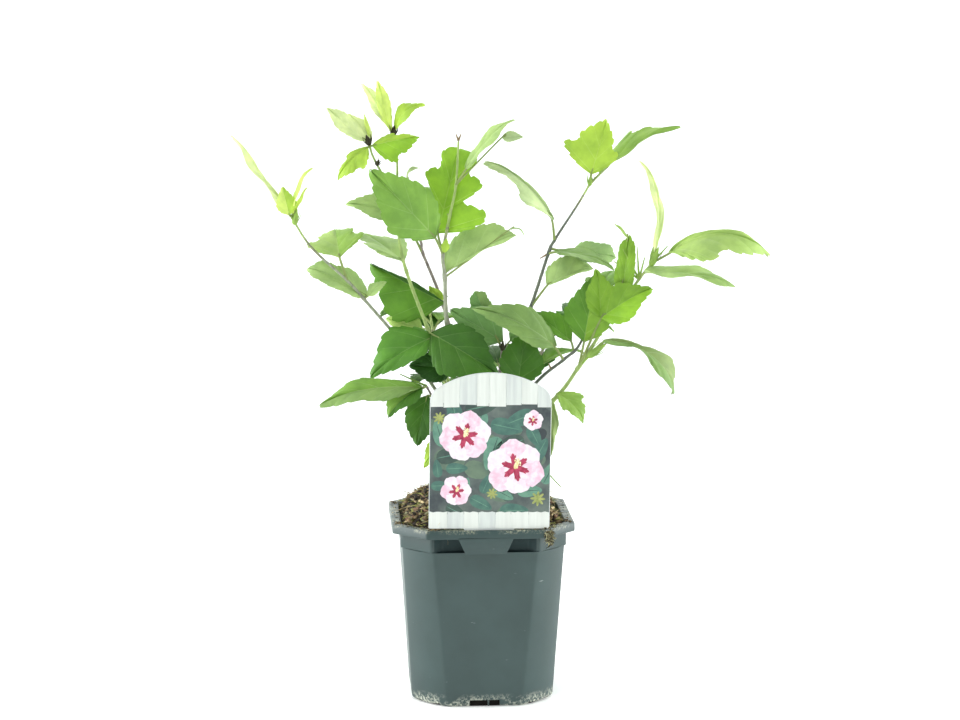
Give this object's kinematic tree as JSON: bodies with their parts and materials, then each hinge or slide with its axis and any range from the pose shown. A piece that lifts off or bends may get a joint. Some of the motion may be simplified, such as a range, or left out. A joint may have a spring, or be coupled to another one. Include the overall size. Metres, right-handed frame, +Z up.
{
  "type": "hibiscus shrub",
  "caption": "Young hibiscus shrub with a short stem, spreading boughs and lobed green leaves, rooted in peat in a square nursery pot with clipped corners and a picture card.",
  "frame": {"origin": "centre of the pot's flat underside", "axes": "+Z up along the pot's height, -Y towards the side of the rim that carries the picture card, +X to the right of someone who reads the card"},
  "size_m": [0.4237, 0.2021, 0.495],
  "materials": {
    "pot": "dark grey satin plastic with lime dust on its edges",
    "soil": "moist peat with moss and fibres",
    "label": "coated white card with a printed floral picture",
    "bark": "thin grey-brown bark",
    "leaf": "matt green leaves, paler and yellower towards the tips"
  },
  "bodies": {
    "root": {"pot": "pot", "soil": "soil", "label": "label", "main_stem": "bark", "bough_far_left": "bark", "bough_left_tall": "bark", "bough_centre_tall": "bark", "bough_left_mid": "bark", "bough_right_tall": "bark", "bough_right_mid": "bark", "bough_right_low": "bark", "bough_centre_low": "bark", "bough_low_left": "bark", "bough_low_right": "bark", "bough_back_left": "bark", "bough_back_right": "bark", "bough_back_centre": "bark", "foliage_far_left": "leaf", "foliage_left_tall": "leaf", "foliage_centre_tall": "leaf", "foliage_left_mid": "leaf", "foliage_right_tall": "leaf", "foliage_right_mid": "leaf", "foliage_right_low": "leaf", "foliage_centre_low": "leaf", "foliage_low_left": "leaf", "foliage_low_right": "leaf", "foliage_back_left": "leaf", "foliage_back_right": "leaf", "foliage_back_centre": "leaf"}
  },
  "joints": []
}
